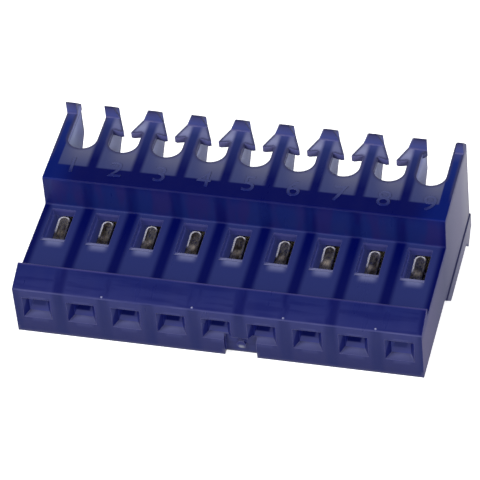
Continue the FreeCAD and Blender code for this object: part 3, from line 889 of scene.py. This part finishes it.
# Contacts: nine tin-plated copper alloy stampings, one pushed into each cavity until it snaps in. Their
# sprung tongues show through the windows, and their blades stand behind the wire comb.
TIN = (0.42, 0.38, 0.28, 1.0)
TARNISH = (0.15, 0.12, 0.07, 1.0)
TIN_LIGHT = (0.80, 0.68, 0.50, 1.0)
TONGUE_GLINT = (0.95, 0.94, 1.00, 1.0)
TONGUE_SHIFT = 0.08
TONGUE_HALF = 0.34
TONGUE_END = 6.59
TONGUE_RIM = (TONGUE_HALF - 0.10, TONGUE_HALF + 0.05)
TONGUE_SHEAR = 5.40
TONGUE_LIT = (-0.35, 0.10)
PLATE_CORNER = 0.08
TONGUE_HIGHLIGHT_ALONG = (5.20, 5.55)
TONGUE_HIGHLIGHT_SPAN = (-0.28, 0.12)
TARNISH_PATCHES = (0.42, 0.66)
TIN_ROUGHNESS = (0.18, 0.42)


def tongue_rim(tree, across, along):
    """A painted glint on the tongue's sheared edge, up its left side and round its free end."""
    beside = calculate(tree, "ADD", offset_from_position(tree, across), TONGUE_SHIFT)
    beyond = calculate(tree, "MAXIMUM", calculate(tree, "SUBTRACT", along, TONGUE_END - TONGUE_HALF), 0.0)
    squares = calculate(tree, "MULTIPLY_ADD", beyond, beyond, product(tree, beside, beside))
    from_middle = calculate(tree, "SQRT", squares)
    on_tongue = band(tree, along, TONGUE_SHEAR, TONGUE_END, blur=0.15)
    lean = calculate(tree, "SUBTRACT", beyond, beside)
    return product(
        tree,
        band(tree, from_middle, *TONGUE_RIM, blur=0.03),
        soft_step(tree, lean, *TONGUE_LIT),
        on_tongue,
    )


def make_tin():
    material, tree, tin, _ = start_material("tin_plate")
    axes = place_group(tree, connector_axes)
    edges = place_group(tree, moulded_edges, Radius=PLATE_CORNER)
    grain = place_group(tree, surface_grain, **{"Grain": 11.0, "Mottle": 2.4, "Draw stretch": 2.0})
    across, along = axes.outputs["Across"], axes.outputs["Along"]
    rim = tongue_rim(tree, across, along)
    stained = soft_step(tree, grain.outputs["Mottle"], *TARNISH_PATCHES)
    plate = mix_colours(tree, stained, TIN, TARNISH)
    # Painted highlight across the lower part of each tongue.
    tongue_highlight = product(
        tree,
        band(tree, along, *TONGUE_HIGHLIGHT_ALONG, blur=0.15),
        band(tree, offset_from_position(tree, across), *TONGUE_HIGHLIGHT_SPAN, blur=0.10),
        scale_to(tree, grain.outputs["Mottle"], 1.0, 0.2),
    )
    plate = mix_colours(tree, tongue_highlight, plate, TIN_LIGHT)
    # Painted glint along the tongue's edge.
    tree.links.new(mix_colours(tree, rim, plate, TONGUE_GLINT), tin.inputs["Base Color"])
    diffuse = calculate(tree, "MAXIMUM", rim, product(tree, tongue_highlight, 0.35))
    tree.links.new(outside(tree, diffuse), tin.inputs["Metallic"])
    tree.links.new(scale_to(tree, grain.outputs["Grain"], *TIN_ROUGHNESS), tin.inputs["Roughness"])
    rounded = edges.outputs["Normal"]
    add_relief(tree, tin, grain.outputs["Grain"], strength=0.25, depth=0.03, normal=rounded)
    return material


tin_plate = make_tin()
for name in positions:
    dress(frame["nodes"][name], tin_plate)

# Studio: a pale table top under soft lamps, with a dim ceiling so that the upper faces keep their navy.
# The camera looks down on the windows from the right, far off through a long lens.
FLOOR_SIZE = 1.6
FLOOR_DROP = 0.02 * MM
FLOOR_WHITE = (0.92, 0.92, 0.92, 1.0)
FLOOR_GLOW = 0.72
FLOOR_ROUGHNESS = 0.9
SKY_LOW = (0.95, 0.95, 0.95, 1.0)
SKY_HIGH = (0.16, 0.16, 0.17, 1.0)
SKY_TURN = (0.15, 0.75)


def make_table():
    bpy.ops.mesh.primitive_plane_add(size=FLOOR_SIZE, location=(0.0, 0.0, -FLOOR_DROP))
    table = bpy.context.object
    table.name = "table_top"
    material, tree, top, _ = start_material("pale_table")
    top.inputs["Base Color"].default_value = FLOOR_WHITE
    top.inputs["Roughness"].default_value = FLOOR_ROUGHNESS
    top.inputs["Specular IOR Level"].default_value = 0.0
    path = add_node(tree, "LightPath")
    seen = calculate(tree, "MAXIMUM", path.outputs["Is Camera Ray"], path.outputs["Is Glossy Ray"])
    seen = calculate(tree, "MAXIMUM", seen, path.outputs["Is Transmission Ray"])
    glow = calculate(tree, "MULTIPLY", seen, FLOOR_GLOW)
    top.inputs["Emission Color"].default_value = (1.0, 1.0, 1.0, 1.0)
    tree.links.new(glow, top.inputs["Emission Strength"])
    dress(table, material)


def make_sky():
    world = bpy.data.worlds.new("studio")
    world.use_nodes = True
    bpy.context.scene.world = world
    tree = world.node_tree
    direction = add_node(tree, "TexCoord").outputs["Generated"]
    height = add_node(tree, "SeparateXYZ", {"Vector": direction}).outputs["Z"]
    upwards = soft_step(tree, height, *SKY_TURN)
    colour = mix_colours(tree, upwards, SKY_LOW, SKY_HIGH)
    tree.links.new(colour, tree.nodes["Background"].inputs["Color"])


def add_lamp(name, place, size, power):
    lamp = bpy.data.lights.new(name, "AREA")
    lamp.shape = "DISK"
    lamp.size = size
    lamp.energy = power
    holder = bpy.data.objects.new(name, lamp)
    holder.location = place
    holder.rotation_euler = (-Vector(place)).to_track_quat("-Z", "Y").to_euler()
    bpy.context.scene.collection.objects.link(holder)


make_table()
make_sky()
add_lamp("key_lamp", place=(-0.30, -0.28, 0.34), size=0.22, power=2.0)
add_lamp("fill_lamp", place=(0.38, -0.20, 0.22), size=0.25, power=1.0)

CAMERA_AZIMUTH = math.radians(15.212)
CAMERA_ELEVATION = math.radians(34.610)
CAMERA_ROLL = math.radians(2.42)
CAMERA_DISTANCE = 193.84 * MM
CAMERA_TARGET = Vector(mounts["mating_face"]["pos_m"]) + Vector((1.137, 6.222, 1.675)) * MM
LENS = 262.3
SENSOR = 36.0
view_direction = Vector(
    (
        math.sin(CAMERA_AZIMUTH) * math.cos(CAMERA_ELEVATION),
        -math.cos(CAMERA_AZIMUTH) * math.cos(CAMERA_ELEVATION),
        math.sin(CAMERA_ELEVATION),
    )
)
lens = bpy.data.cameras.new("camera")
lens.lens = LENS
lens.sensor_width = SENSOR
lens.clip_start = CAMERA_DISTANCE / 100
lens.clip_end = CAMERA_DISTANCE * 100
camera = bpy.data.objects.new("camera", lens)
bpy.context.scene.collection.objects.link(camera)
camera.location = CAMERA_TARGET + view_direction * CAMERA_DISTANCE
aim = (-view_direction).to_track_quat("-Z", "Y").to_matrix() @ Matrix.Rotation(-CAMERA_ROLL, 3, "Z")
camera.rotation_euler = aim.to_euler()
bpy.context.scene.camera = camera
bpy.context.scene.view_settings.view_transform = "Standard"
